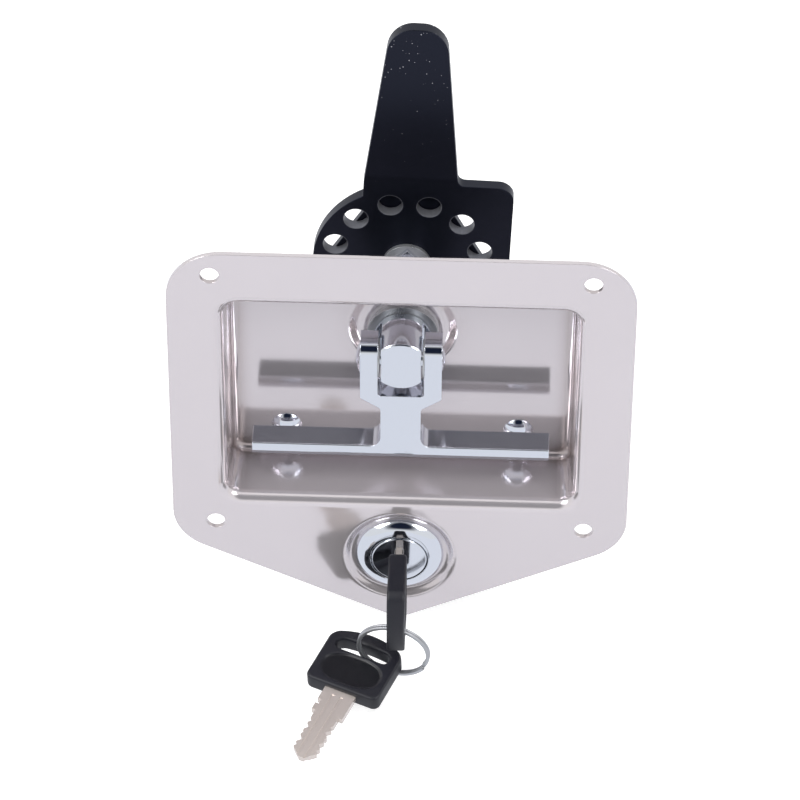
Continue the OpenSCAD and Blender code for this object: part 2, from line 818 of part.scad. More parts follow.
pan();
guide_bracket();
bracket_rivets();
spindle_bush();
bush_nut();
spindle();
thrust_washer();
lock_disc();
retaining_clip();
cam_washer();
latch_cam();
backing_plate();
spring_washer();
cam_bolt();
t_handle();
hinge_pin();
friction_washers();
lock_body();
lock_nut();
lock_plug();
lock_wafers();
lock_crank();
crank_screw();
lock_bar();
key_blade();
key_bow();
key_ring();
spare_blade();
spare_bow();
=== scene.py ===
"""Looks of a recessed folding T-handle latch for a trailer door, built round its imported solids."""

import json
import math

import bpy
import numpy as np
from mathutils import Matrix, Vector


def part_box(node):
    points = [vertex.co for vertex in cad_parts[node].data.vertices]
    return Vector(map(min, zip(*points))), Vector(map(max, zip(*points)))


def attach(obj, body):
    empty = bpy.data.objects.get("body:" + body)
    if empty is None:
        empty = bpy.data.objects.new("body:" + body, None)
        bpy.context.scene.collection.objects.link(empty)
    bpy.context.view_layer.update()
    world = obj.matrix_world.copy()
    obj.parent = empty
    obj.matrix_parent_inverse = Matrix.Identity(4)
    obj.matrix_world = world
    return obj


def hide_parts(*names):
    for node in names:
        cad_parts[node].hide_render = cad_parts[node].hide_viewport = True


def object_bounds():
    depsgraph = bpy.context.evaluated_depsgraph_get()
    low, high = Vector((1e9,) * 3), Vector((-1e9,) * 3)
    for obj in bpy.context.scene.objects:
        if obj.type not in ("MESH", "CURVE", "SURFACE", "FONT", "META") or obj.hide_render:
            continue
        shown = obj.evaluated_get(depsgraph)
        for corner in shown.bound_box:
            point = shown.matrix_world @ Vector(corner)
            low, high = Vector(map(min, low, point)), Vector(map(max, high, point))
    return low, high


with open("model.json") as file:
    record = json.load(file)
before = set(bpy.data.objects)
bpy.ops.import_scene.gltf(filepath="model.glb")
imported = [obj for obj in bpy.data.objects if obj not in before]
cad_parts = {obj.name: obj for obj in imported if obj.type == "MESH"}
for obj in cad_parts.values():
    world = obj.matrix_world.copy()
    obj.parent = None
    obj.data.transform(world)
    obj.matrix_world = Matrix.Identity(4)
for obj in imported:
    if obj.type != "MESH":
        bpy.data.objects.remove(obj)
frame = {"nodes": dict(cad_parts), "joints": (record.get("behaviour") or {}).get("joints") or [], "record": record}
CAD_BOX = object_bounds()

bl_info = {
    "name": "Trailer door latch",
    "version": (1, 0, 0),
    "blender": (4, 5, 0),
    "location": "View3D > Sidebar > Latch",
    "description": "Metal finishes, moulded keys, split ring, threads and stage for the packed latch",
    "category": "Object",
}

MM = 0.001
TURN = 2 * math.pi
TINY = 1e-9  # keeps a division from dividing by nought
JOINTS = {joint["name"]: joint for joint in frame["joints"]}
SLOT_OF = {part["node"]: part["material_slot"] for part in frame["record"]["subparts"]}


def linear(code):
    """An sRGB hex colour as linear red, green, blue and alpha."""
    c = np.array([int(code[i : i + 2], 16) for i in (1, 3, 5)]) / 255
    c = np.where(c <= 0.04045, c / 12.92, ((c + 0.055) / 1.055) ** 2.4)
    return (*c.tolist(), 1.0)


def grey(level):
    """A grey by its linear level, with alpha."""
    return (level, level, level, 1.0)


def shade(colour, share):
    """A colour darkened to that share."""
    return (*[c * share for c in colour[:3]], 1.0)


def per(size):
    """How many times a pattern of that size in millimetres repeats in a metre."""
    return 1000 / size


# Properties


def colour_prop(name, code, description):
    """A colour that the user may change, given as sRGB hex."""
    return bpy.props.FloatVectorProperty(
        name=name, description=description, subtype="COLOR", size=4, min=0, max=1, default=linear(code)
    )


def length_prop(name, size, description):
    """A length that the user may change, given in millimetres."""
    return bpy.props.FloatProperty(
        name=name, description=description, subtype="DISTANCE", unit="LENGTH", default=size * MM, min=0
    )


def angle_prop(name, degrees, description):
    """An angle that the user may change, given in degrees."""
    return bpy.props.FloatProperty(
        name=name, description=description, subtype="ANGLE", default=math.radians(degrees)
    )


class LatchFinishes(bpy.types.PropertyGroup):
    """Colours of the latch's finishes."""

    stainless: colour_prop("Stainless", "#d6d0d3", "Satin stainless sheet of the pan")
    # Painted shade: a brown colour mixed into the pan's bends where ambient occlusion finds them shaded.
    tarnish: colour_prop("Tarnish", "#8f7f79", "Brown film in the bends of the pan, where no wheel reaches")
    chrome: colour_prop("Chrome", "#dee2ea", "Bright chrome of handle, hub, bezel and rivets")
    zinc: colour_prop("Zinc", "#b9bbbe", "Zinc plating of the hidden hardware")
    nickel: colour_prop("Nickel", "#d9d0ca", "Nickel plating of the key blades and wafers")
    enamel: colour_prop("Enamel", "#06070c", "Black enamel of the cam")
    # A paler grey that is given to the walls of the cam's holes.
    bare: colour_prop("Bare steel", "#55565a", "Thinly coated walls of the cam's holes")
    dust: colour_prop("Dust", "#8c8c92", "Specks of dust on the enamel")
    plastic: colour_prop("Plastic", "#0f101b", "Moulded plastic of the key bows")


class LatchSizes(bpy.types.PropertyGroup):
    """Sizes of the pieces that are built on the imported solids."""

    wire_wide: length_prop("Wire width", 1.2, "Width of the split ring's wire, along the radius")
    wire_thick: length_prop("Wire thickness", 0.8, "Thickness of one turn of the split ring")
    turn_pitch: length_prop("Turn pitch", 0.9, "Distance between the split ring's two turns")
    bow_edge: length_prop("Bow edge", 0.9, "Radius of the moulded bow's edges")
    bow_corner: length_prop("Bow corner", 2.2, "Radius of the moulded bow's four corners")
    bow_arch: length_prop("Bow arch", 1.2, "How far the corners at the ring stand back")
    bow_crown: length_prop("Bow crown", 2.4, "How far the rim at the ring is thickened in its middle")
    thumb_deep: length_prop("Thumb recess", 0.6, "Depth of the oval recess in each face of a bow")
    thumb_long: length_prop("Thumb recess length", 20, "Length of the oval recess across the bow")
    thumb_high: length_prop("Thumb recess height", 11.2, "Height of the oval recess along the key")
    thumb_inset: length_prop("Thumb recess inset", 8.8, "Distance from the slot's middle to the recess's")
    slot_long: length_prop("Slot length", 18, "Length of the bow's slot")
    slot_wide: length_prop("Slot width", 4.3, "Width of the bow's slot")
    slot_inset: length_prop("Slot inset", 4.2, "Distance from the bow's end to the slot's middle")
    bush_radius: length_prop("Bush radius", 8, "Radius at the root of the bush's thread")
    barrel_radius: length_prop("Barrel radius", 9.5, "Radius at the root of the lock barrel's thread")
    barrel_flat: length_prop("Barrel flat", 8.5, "Distance of the lock barrel's two flats from its axis")
    thread_pitch: length_prop("Thread pitch", 1.25, "Pitch of the threads on bush and lock barrel")
    thread_deep: length_prop("Thread depth", 0.4, "Depth of those threads")


class LatchStage(bpy.types.PropertyGroup):
    """Camera and lights."""

    lens: bpy.props.FloatProperty(
        name="Lens", description="Focal length on a 36 mm sensor", subtype="DISTANCE_CAMERA", default=201.33
    )
    elevation: angle_prop("Elevation", 40.858, "Camera's height above the horizon")
    azimuth: angle_prop("Azimuth", 1.3616, "Camera's turn about its own upright")
    roll: angle_prop("Roll", 1.5852, "Camera's turn about its line of sight")
    place: bpy.props.FloatVectorProperty(
        name="Place of the flange", subtype="XYZ", unit="LENGTH",
        description="Flange's front centre as the camera sees it: right, down, away",
        default=(0.12 * MM, 1.863 * MM, 1368.615 * MM),
    )
    sky: bpy.props.FloatProperty(
        name="Sky", description="Strength of the even light from all round", default=0.6, min=0
    )


# Nodes and materials
# A Map Range node takes a value, the range that it lies in, and the range that it is brought to.


def add(tree, kind, inputs=(), **settings):
    """Adds a shader node: settings are its attributes, inputs its sockets in order or by name. An input
    that is given another node's output is linked to it. Gives the new node's outputs."""
    node = tree.nodes.new(kind)
    for name, value in settings.items():
        setattr(node, name, value)
    for key, value in inputs.items() if isinstance(inputs, dict) else enumerate(inputs):
        if isinstance(value, bpy.types.NodeSocket):
            tree.links.new(value, node.inputs[key])
        else:
            node.inputs[key].default_value = value
    return node.outputs


def emptied(block):
    """The node tree of a material or a world, with nothing in it."""
    block.use_nodes = True
    block.node_tree.nodes.clear()
    return block.node_tree


def finish(coat, colours):
    """A material named for the function coat, which gives the shader's sockets from Object coordinates."""
    material = bpy.data.materials.new(coat.__name__)
    tree = emptied(material)
    place = add(tree, "ShaderNodeTexCoord")["Object"]
    shader = add(tree, "ShaderNodeBsdfPrincipled", coat(tree, place, colours))
    add(tree, "ShaderNodeOutputMaterial", {"Surface": shader[0]})
    return material


def relief(tree, height, strength, deep, edge):
    """A normal with fine relief of a depth in metres, over edges that catch the light as if rounded to a
    radius."""
    rounded = add(tree, "ShaderNodeBevel", {"Radius": edge}, samples=6)[0]
    bumps = {"Height": height, "Strength": strength, "Distance": deep, "Normal": rounded}
    return add(tree, "ShaderNodeBump", bumps)[0]


def satin_stainless(tree, place, colours):
    """Cold-rolled stainless sheet, pressed and rubbed satin: a pale, faintly warm metal whose fine grain
    runs across the plate. What it mirrors shows through the milky haze of the rubbed surface, with slow
    clouds in the gloss, and a brown painted shade darkens the bends where ambient occlusion finds them
    shaded."""
    # The grain is drawn several times as wide as on real sheet, so that it shows.
    grain_scale = (per(30), per(0.45), per(0.45))
    cloud_scale, bend_reach = per(45), 7 * MM
    along = add(tree, "ShaderNodeMapping", {"Vector": place, "Scale": grain_scale})[0]
    grain = add(tree, "ShaderNodeTexNoise", {"Vector": along, "Scale": 1.0, "Detail": 3.0})[0]
    cloud = add(tree, "ShaderNodeTexNoise", {"Vector": place, "Scale": cloud_scale, "Detail": 2.0})[0]
    both = add(tree, "ShaderNodeMath", (grain, cloud), operation="ADD")[0]
    cloudy = {"Factor": cloud, "A": shade(colours.stainless, 0.95), "B": colours.stainless}
    clean = add(tree, "ShaderNodeMix", cloudy, data_type="RGBA")["Result"]
    # Painted shade: the brown bend colour is mixed in where ambient occlusion finds the bends shaded, fully in the
    # deepest.
    near = {"Distance": bend_reach}
    exposed = add(tree, "ShaderNodeAmbientOcclusion", near, samples=6, only_local=True)["AO"]
    bend_shading = add(tree, "ShaderNodeMapRange", (exposed, 0.4, 0.9, 1.0, 0.0))[0]
    bend_shaded = {"Factor": bend_shading, "A": clean, "B": colours.tarnish}
    return {
        "Metallic": 0.73,
        "Base Color": add(tree, "ShaderNodeMix", bend_shaded, data_type="RGBA")["Result"],
        "Roughness": add(tree, "ShaderNodeMapRange", (both, 0.7, 1.3, 0.07, 0.13))[0],
        "Normal": relief(tree, grain, strength=0.01, deep=0.02 * MM, edge=0.5 * MM),
    }


def bright_chrome(tree, place, colours):
    """Bright chrome on a polished casting: a cool mirror with the slight waviness of hand polishing."""
    wave_scale, haze_scale = per(7), per(1.2)
    wave = add(tree, "ShaderNodeTexNoise", {"Vector": place, "Scale": wave_scale, "Detail": 1.0})[0]
    haze = add(tree, "ShaderNodeTexNoise", {"Vector": place, "Scale": haze_scale, "Detail": 4.0})[0]
    hazy = {"Factor": haze, "A": shade(colours.chrome, 0.97), "B": colours.chrome}
    return {
        "Metallic": 1.0,
        "Base Color": add(tree, "ShaderNodeMix", hazy, data_type="RGBA")["Result"],
        "Roughness": add(tree, "ShaderNodeMapRange", (haze, 0.35, 0.7, 0.04, 0.09))[0],
        "Normal": relief(tree, wave, strength=0.06, deep=0.1 * MM, edge=0.35 * MM),
    }


def zinc_plate(tree, place, colours):
    """Bright zinc plating on rolled steel: grey, slightly blue, with soft darker patches and a dull
    gloss."""
    patch_scale = per(5)
    patch = add(tree, "ShaderNodeTexNoise", {"Vector": place, "Scale": patch_scale, "Detail": 5.0})[0]
    patchy = {"Factor": patch, "A": shade(colours.zinc, 0.82), "B": colours.zinc}
    return {
        "Metallic": 0.8,
        "Base Color": add(tree, "ShaderNodeMix", patchy, data_type="RGBA")["Result"],
        "Roughness": add(tree, "ShaderNodeMapRange", (patch, 0.3, 0.7, 0.24, 0.4))[0],
        "Normal": relief(tree, patch, strength=0.05, deep=0.05 * MM, edge=0.2 * MM),
    }


def nickel_plate(tree, place, colours):
    """Nickel-plated brass, stamped and milled: a warm grey metal with fine cutter lines in its gloss."""
    # The cutter lines are drawn coarser than real ones, so that they show.
    line_scale, edge = (per(0.3), per(12), per(0.3)), 0.12 * MM
    lines = add(tree, "ShaderNodeMapping", {"Vector": place, "Scale": line_scale})[0]
    mill = add(tree, "ShaderNodeTexNoise", {"Vector": lines, "Scale": 1.0, "Detail": 2.0})[0]
    milled = {"Factor": mill, "A": shade(colours.nickel, 0.97), "B": colours.nickel}
    return {
        "Metallic": 0.7,
        "Base Color": add(tree, "ShaderNodeMix", milled, data_type="RGBA")["Result"],
        "Roughness": add(tree, "ShaderNodeMapRange", (mill, 0.3, 0.7, 0.22, 0.27))[0],
        "Normal": add(tree, "ShaderNodeBevel", {"Radius": edge}, samples=6)[0],
    }


def in_hole(tree, place):
    """One on the walls of the cam's twelve holes, nought elsewhere. The angle about the spindle is folded
    to the nearest hole, the cosine rule gives the distance from that hole's middle, and this is compared
    with its radius. The cam's rear face is left out."""
    holes, ring, radius, first, thick = 12, 23.35 * MM, 3.85 * MM, math.radians(13), 3.8 * MM
    full, faded, skipped = radius + 0.02 * MM, radius + 0.2 * MM, 0.1 * MM
    rear = corners("latch_cam")[0][1] + thick
    without_depth, from_axis = (1, 0, 1), (0, 0, -JOINTS["spindle_turn"]["pos_m"][2])
    spoke = (place, without_depth, from_axis)
    flat = add(tree, "ShaderNodeVectorMath", spoke, operation="MULTIPLY_ADD")[0]
    far = add(tree, "ShaderNodeVectorMath", (flat,), operation="LENGTH")["Value"]
    side = add(tree, "ShaderNodeSeparateXYZ", (flat,))
    turn = add(tree, "ShaderNodeMath", (side["Z"], side["X"]), operation="ARCTAN2")[0]
    past = add(tree, "ShaderNodeMath", (turn, first), operation="SUBTRACT")[0]
    fold = add(tree, "ShaderNodeMath", (past, TURN / holes / 2), operation="PINGPONG")[0]
    bend = add(tree, "ShaderNodeMath", (fold,), operation="COSINE")[0]
    level = add(tree, "ShaderNodeMath", (far, bend), operation="MULTIPLY")[0]
    squares = add(tree, "ShaderNodeMath", (far, far, ring**2), operation="MULTIPLY_ADD")[0]
    square = add(tree, "ShaderNodeMath", (level, -2 * ring, squares), operation="MULTIPLY_ADD")[0]
    gap = add(tree, "ShaderNodeMath", (square,), operation="SQRT")[0]
    wall = add(tree, "ShaderNodeMapRange", (gap, full, faded, 1.0, 0.0))[0]
    depth = add(tree, "ShaderNodeSeparateXYZ", (place,))["Y"]
    before = add(tree, "ShaderNodeMath", (depth, rear - skipped), operation="LESS_THAN")[0]
    return add(tree, "ShaderNodeMath", (wall, before), operation="MULTIPLY")[0]


def dust_specks(tree, place):
    """One where dust lies on the cam, nought elsewhere. Each speck lies round the middle of a Voronoi
    cell, and is wider the more the cell's random value passes a level, which falls towards the tongue's
    end."""
    cell, low, high, wide, soft = per(0.9), 40 * MM, 95 * MM, 0.55, 0.05
    speck = add(tree, "ShaderNodeTexVoronoi", {"Vector": place, "Scale": cell})
    chance = add(tree, "ShaderNodeSeparateColor", (speck["Color"],))[0]
    height = add(tree, "ShaderNodeSeparateXYZ", (place,))["Z"]
    level = add(tree, "ShaderNodeMapRange", (height, low, high, 0.92, 0.5))[0]
    past = add(tree, "ShaderNodeMath", (chance, level), operation="SUBTRACT")[0]
    radius = add(tree, "ShaderNodeMath", (past, wide), operation="MULTIPLY")[0]
    inside = add(tree, "ShaderNodeMath", (radius, speck["Distance"]), operation="SUBTRACT")[0]
    return add(tree, "ShaderNodeMapRange", (inside, 0.0, soft))[0]


def black_enamel(tree, place, colours):
    """Stoved black enamel on steel plate: a deep gloss with faint orange peel, a paler grey on the walls
    of the holes, and dry dust lying on it in specks."""
    peel_scale, blue_gloss = per(1.6), linear("#c4cdf4")
    peel = add(tree, "ShaderNodeTexNoise", {"Vector": place, "Scale": peel_scale, "Detail": 2.0})[0]
    lying = dust_specks(tree, place)
    # The walls of the holes are given a paler grey than the enamel.
    hole_walls = {"Factor": in_hole(tree, place), "A": colours.enamel, "B": colours.bare}
    coat = add(tree, "ShaderNodeMix", hole_walls, data_type="RGBA")["Result"]
    dusty = {"Factor": lying, "A": coat, "B": colours.dust}
    return {
        "Specular IOR Level": 0.45,
        "Specular Tint": blue_gloss,
        "Base Color": add(tree, "ShaderNodeMix", dusty, data_type="RGBA")["Result"],
        "Roughness": add(tree, "ShaderNodeMapRange", (lying, 0.0, 1.0, 0.3, 0.8))[0],
        "Normal": relief(tree, peel, strength=0.08, deep=0.05 * MM, edge=0.5 * MM),
    }


def moulded_plastic(tree, place, colours):
    """Black ABS moulded against a spark-eroded tool: an even fine grain, dull, with a few paler rubbed
    places, and smooth and deep black where the mesh says that the tool was polished."""
    # The eroded grain is drawn several times as coarse as a real one, so that it shows.
    grain_scale, grain_deep = per(0.35), 0.05 * MM
    rubbed_scale, smooth = per(9), 0.32
    grain = add(tree, "ShaderNodeTexNoise", {"Vector": place, "Scale": grain_scale, "Detail": 2.0})[0]
    rubbed = add(tree, "ShaderNodeTexNoise", {"Vector": place, "Scale": rubbed_scale, "Detail": 3.0})[0]
    polish = add(tree, "ShaderNodeAttribute", attribute_name="polish")["Fac"]
    dull = add(tree, "ShaderNodeMapRange", (rubbed, 0.4, 0.7, 0.52, 0.4))[0]
    rubbed_black = {"Factor": rubbed, "A": shade(colours.plastic, 0.7), "B": colours.plastic}
    grainy = add(tree, "ShaderNodeMix", rubbed_black, data_type="RGBA")["Result"]
    polished = {"Factor": polish, "A": grainy, "B": shade(colours.plastic, 0.35)}
    grains = {"Height": grain, "Strength": 0.25, "Distance": grain_deep}
    return {
        "Specular IOR Level": 0.5,
        "Base Color": add(tree, "ShaderNodeMix", polished, data_type="RGBA")["Result"],
        "Roughness": add(tree, "ShaderNodeMix", {"Factor": polish, "A": dull, "B": smooth})[0],
        "Normal": add(tree, "ShaderNodeBump", grains)[0],
    }


COAT_OF = {
    "stainless_sheet": satin_stainless,
    "chrome_plate": bright_chrome,
    "zinc_plate": zinc_plate,
    "nickel_plate": nickel_plate,
    "black_enamel": black_enamel,
    "black_plastic": moulded_plastic,
}


# Surfaces


def skin(name, points, finish_name, body, caps=False, polish=None):
    """A piece from a grid of points in metres: quads join neighbouring points, and the second way round
    is closed. The first way is closed too, unless caps close its two ends. The faces are turned outwards
    by the sign of the volume that they enclose. How polished each point is, where given, goes with the
    mesh."""
    rows, columns = points.shape[:2]
    a, b = np.meshgrid(np.arange(rows - 1 if caps else rows), np.arange(columns), indexing="ij")
    c, d = (a + 1) % rows, (b + 1) % columns
    quads = [a * columns + b, c * columns + b, c * columns + d, a * columns + d]
    quads = np.stack(quads, -1).reshape(-1, 4)
    flat = points.reshape(-1, 3)
    p, q, r, s = (flat[quads[:, k]] for k in range(4))
    volume = np.einsum("ij,ij->", p, np.cross(q, r)) + np.einsum("ij,ij->", p, np.cross(r, s))
    ends = [np.arange(columns)[::-1], np.arange(columns) + (rows - 1) * columns] if caps else []
    faces = [*quads.tolist(), *[end.tolist() for end in ends]]
    if volume < 0:
        faces = [face[::-1] for face in faces]
    mesh = bpy.data.meshes.new(name)
    mesh.from_pydata(flat.tolist(), [], faces)
    mesh.shade_smooth()
    mesh.materials.append(bpy.data.materials[finish_name])
    if polish is not None:
        mesh.attributes.new("polish", "FLOAT", "POINT").data.foreach_set("value", polish.ravel())
    piece = bpy.data.objects.new(name, mesh)
    bpy.context.scene.collection.objects.link(piece)
    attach(piece, body)
    return piece


def corners(node):
    """A node's lowest and highest corners as arrays."""
    low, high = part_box(node)
    return np.array(low), np.array(high)


def unit(vector):
    """A vector brought to length one."""
    return vector / np.linalg.norm(vector)


def vertices(mesh):
    """A mesh's points as rows of an array."""
    flat = np.zeros(len(mesh.vertices) * 3)
    mesh.vertices.foreach_get("co", flat)
    return flat.reshape(-1, 3)


def middle_and_spread(node):
    """The middle of a node's surface, from its triangles' middles weighed by their areas, and how these
    spread about it: the weighed mean of their offsets' outer products."""
    mesh = frame["nodes"][node].data
    mesh.calc_loop_triangles()
    index = np.zeros(len(mesh.loop_triangles) * 3, int)
    mesh.loop_triangles.foreach_get("vertices", index)
    p = vertices(mesh)[index.reshape(-1, 3)]
    area = np.linalg.norm(np.cross(p[:, 1] - p[:, 0], p[:, 2] - p[:, 0]), axis=1)
    middle = np.average(p.mean(1), axis=0, weights=area)
    away = p.mean(1) - middle
    return middle, (away * area[:, None]).T @ away / area.sum()


def key_frame(bow, blade, hint):
    """A key's own axes: through the flat (turned towards the hint), along the blade, and across; the
    bow's middle; and the bow's three sizes. The flat's direction is the one in which its surface spreads
    least."""
    middle, spread = middle_and_spread(bow)
    tip = unit(middle_and_spread(blade)[0] - middle)
    flat = np.linalg.eigh(spread)[1][:, 0]
    flat = unit(flat - tip * (flat @ tip)) * np.sign(flat @ hint)
    axes = np.array([flat, tip, np.cross(flat, tip)])
    local = vertices(frame["nodes"][bow].data) @ axes.T
    low, high = local.min(0), local.max(0)
    return axes, (low + high) / 2 @ axes, high - low


def split_ring_points(sizes):
    """A split ring: a rounded oblong carried twice round a circle while it climbs by one pitch a turn.
    The circle's axis is square to the two radii at which the keys hang."""
    turns, steps, wire_steps, squarish = 2, 241, 16, 0.5
    towards_ends = np.array([0.9, 0.0, -0.5])
    low, high = corners("key_ring")
    middle = (low + high) / 2
    hook = np.array(JOINTS["ring_swing"]["pos_m"]) - middle
    hang = np.array(JOINTS["spare_swing"]["pos_m"]) - middle
    axis = unit(np.cross(hook, hang))
    start = unit(np.cross(np.cross(axis, towards_ends), axis))
    other = np.cross(axis, start)
    radius = np.linalg.norm(hook)
    turn = np.linspace(0, turns * TURN, steps)[:, None]
    round_wire = np.linspace(0, TURN, wire_steps, endpoint=False)[None, :]
    c, s = np.cos(round_wire), np.sin(round_wire)
    out = sizes.wire_wide / 2 * np.sign(c) * np.abs(c) ** squarish
    up = sizes.wire_thick / 2 * np.sign(s) * np.abs(s) ** squarish
    rise = sizes.turn_pitch * (turn / TURN - turns / 2)
    spoke = np.cos(turn)[..., None] * start + np.sin(turn)[..., None] * other
    return middle + (radius + out)[..., None] * spoke + (rise + up)[..., None] * axis


def oblong(wide, high, radius, steps):
    """A rounded oblong, counter-clockwise: four corner arcs of so many steps, joined and then shared out
    into twelve times as many equal stretches."""
    part = np.linspace(0, math.pi / 2, steps)
    arcs = []
    for k, (x, y) in enumerate([(1, 1), (-1, 1), (-1, -1), (1, -1)]):
        angle = part + k * math.pi / 2
        across = x * (wide / 2 - radius) + radius * np.cos(angle)
        along = y * (high / 2 - radius) + radius * np.sin(angle)
        arcs.append(np.stack([across, along], -1))
    loop = np.concatenate(arcs)
    closed = np.concatenate([loop, loop[:1]])
    run = np.concatenate([[0], np.cumsum(np.linalg.norm(np.diff(closed, axis=0), axis=1))])
    even = np.linspace(0, run[-1], 12 * steps, endpoint=False)
    return np.stack([np.interp(even, run, closed[:, 0]), np.interp(even, run, closed[:, 1])], -1)


def capsule_reach(direction, half, radius):
    """How far a ray from the middle of a slot runs to its edge: to a straight side, or to the arc at an
    end."""
    c, s = np.abs(direction[:, 0]), np.abs(direction[:, 1])
    side = radius / np.maximum(s, TINY)
    end = half * c + np.sqrt(np.maximum(radius**2 - (half * s) ** 2, 0))
    return np.where(side * c <= half, side, end)


def bow_points(sizes, across, long, thick):
    """A moulded bow in its own axes (through, along, across): a plate between a rounded oblong and a
    slot. Rays from the slot's middle join the two outlines. Along each ray the section runs up the outer
    edge's arc, over the face, down the slot's arc and back underneath. The face sinks in an oval under
    the thumb. The half towards the ring is bent to an arch that stands back as the square of the distance
    from the middle, with a crown on the rim. How far each point has sunk, from nought to one, goes with
    the points."""
    corner_steps, edge_steps, face_steps, most_edge = 16, 6, 30, 0.4
    oval_power, oval_out, oval_soft = 2.6, 1.12, 0.3
    slot_at = -long / 2 + sizes.slot_inset
    thumb_at = slot_at + sizes.thumb_inset
    outer = oblong(across, long, sizes.bow_corner, corner_steps)
    ray = outer - np.array([0, slot_at])
    reach = np.linalg.norm(ray, axis=1)
    ray = ray / reach[:, None]
    slot_half = (sizes.slot_long - sizes.slot_wide) / 2
    width = (reach - capsule_reach(ray, slot_half, sizes.slot_wide / 2))[:, None]
    edge = np.minimum(sizes.bow_edge, width * most_edge)
    bend = np.linspace(0, math.pi / 2, edge_steps)[None, :]
    share = np.linspace(0, 1, face_steps)[None, 1:-1]
    inwards = np.concatenate([
        edge * (1 - np.cos(bend)),
        edge + (width - 2 * edge) * share,
        width - edge * (1 - np.cos(bend[:, ::-1])),
    ], 1)
    level = thick / 2 + np.concatenate([
        edge * (np.sin(bend) - 1),
        np.zeros_like(width * share),
        edge * (np.sin(bend[:, ::-1]) - 1),
    ], 1)
    far = (reach[:, None] - inwards)[..., None] * ray[:, None, :]
    x, y = far[..., 0], far[..., 1] + slot_at
    oval_x, oval_y = 2 * x / sizes.thumb_long, 2 * (y - thumb_at) / sizes.thumb_high
    oval = np.abs(oval_x) ** oval_power + np.abs(oval_y) ** oval_power
    sink = np.clip((oval_out - oval) / oval_soft, 0, 1)
    sink = sink * sink * (3 - 2 * sink)
    nearer = np.clip((thumb_at - y) / (thumb_at + long / 2), 0, 1)
    rim = sizes.slot_inset - sizes.slot_wide / 2
    beyond = np.clip((rim - long / 2 - y) / rim, 0, 1)
    aside = (2 * x / across) ** 2
    y = y + sizes.bow_arch * aside * nearer - sizes.bow_crown * (1 - aside) * beyond
    face = np.stack([level - sizes.thumb_deep * sink, y, x], -1)
    back = face[:, ::-1] * np.array([-1, 1, 1])
    return np.concatenate([face, back], 1), np.concatenate([sink, sink[:, ::-1]], 1)


def thread_points(sizes, middle, radius, flat, start, end):
    """A threaded sleeve about an axis along Y: its radius rises and falls with the distance along the
    axis less the share of the turn, and is held in by two flats; both ends and the inside are closed."""
    turn_steps, pitch_steps, blunt, wall = 96, 8, 0.9, 0.4 * MM
    steps = max(int((end - start) / sizes.thread_pitch * pitch_steps), pitch_steps)
    along = np.linspace(start, end, steps)[None, :]
    turn = np.linspace(0, TURN, turn_steps, endpoint=False)[:, None]
    phase = (along / sizes.thread_pitch - turn / TURN) % 1
    crest = radius + sizes.thread_deep * (1 - np.abs(2 * phase - 1)) * blunt
    limit = flat / np.maximum(np.abs(np.cos(turn)), TINY)
    outside = np.minimum(crest, limit)
    inside = np.minimum(radius, limit) - wall + 0 * along
    r = np.concatenate([outside, inside[:, ::-1]], 1)
    y = np.concatenate([along, along[:, ::-1]], 1) + 0 * turn
    return np.stack([middle[0] + r * np.cos(turn), y, middle[2] + r * np.sin(turn)], -1)


# Operators


class LATCH_OT_finishes(bpy.types.Operator):
    """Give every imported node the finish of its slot."""

    bl_idname = "latch.finishes"
    bl_label = "Finishes"

    def execute(self, context):
        colours = context.scene.latch_finishes
        finish_of = {slot: finish(coat, colours) for slot, coat in COAT_OF.items()}
        for name, node in frame["nodes"].items():
            node.data.materials.clear()
            node.data.materials.append(finish_of[SLOT_OF[name]])
        return {"FINISHED"}


class LATCH_OT_split_ring(bpy.types.Operator):
    """Coil the key ring from flat wire, in place of the plain ring."""

    bl_idname = "latch.split_ring"
    bl_label = "Split ring"

    def execute(self, context):
        points = split_ring_points(context.scene.latch_sizes)
        ring = skin("split_ring", points, "zinc_plate", "ring_body", caps=True)
        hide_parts("key_ring")
        return {"FINISHED"}


class LATCH_OT_bows(bpy.types.Operator):
    """Mould the two key bows with soft edges and thumb recesses."""

    bl_idname = "latch.bows"
    bl_label = "Key bows"

    def execute(self, context):
        sizes = context.scene.latch_sizes
        sideways = np.array([1.0, 0.0, 0.0])
        hang = np.array(JOINTS["spare_swing"]["axis"])
        for name, body, hint in (("key", "key_body", sideways), ("spare", "spare_body", hang)):
            axes, middle, (thick, long, across) = key_frame(f"{name}_bow", f"{name}_blade", hint)
            local, sunk = bow_points(sizes, across, long, thick)
            points = middle + local @ axes
            bow = skin(f"{name}_moulding", points, "moulded_plastic", body, polish=sunk)
            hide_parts(f"{name}_bow")
        return {"FINISHED"}


class LATCH_OT_threads(bpy.types.Operator):
    """Cut the threads that stand out behind the two nuts."""

    bl_idname = "latch.threads"
    bl_label = "Threads"

    def execute(self, context):
        sizes = context.scene.latch_sizes
        # The bush is round all about, so its flats are out of reach.
        bush, barrel = (sizes.bush_radius, math.inf), (sizes.barrel_radius, sizes.barrel_flat)
        for name, node, nut, (radius, flat), finish_name, slot in (
            ("bush_thread", "spindle_bush", "bush_nut", bush, "zinc_plate", "zinc_plate"),
            ("barrel_thread", "lock_body", "lock_nut", barrel, "bright_chrome", "chrome_plate"),
        ):
            points = self.behind(sizes, node, nut, radius, flat)
            skin(name, points, finish_name, "housing")
        return {"FINISHED"}

    def behind(self, sizes, node, nut, radius, flat):
        """The thread of a node from its nut's rear face to a little short of its own end."""
        short = 0.3 * MM
        low, high = corners(node)
        middle = np.array([0, 0, (low[2] + high[2]) / 2])
        return thread_points(sizes, middle, radius, flat, corners(nut)[1][1], high[1] - short)


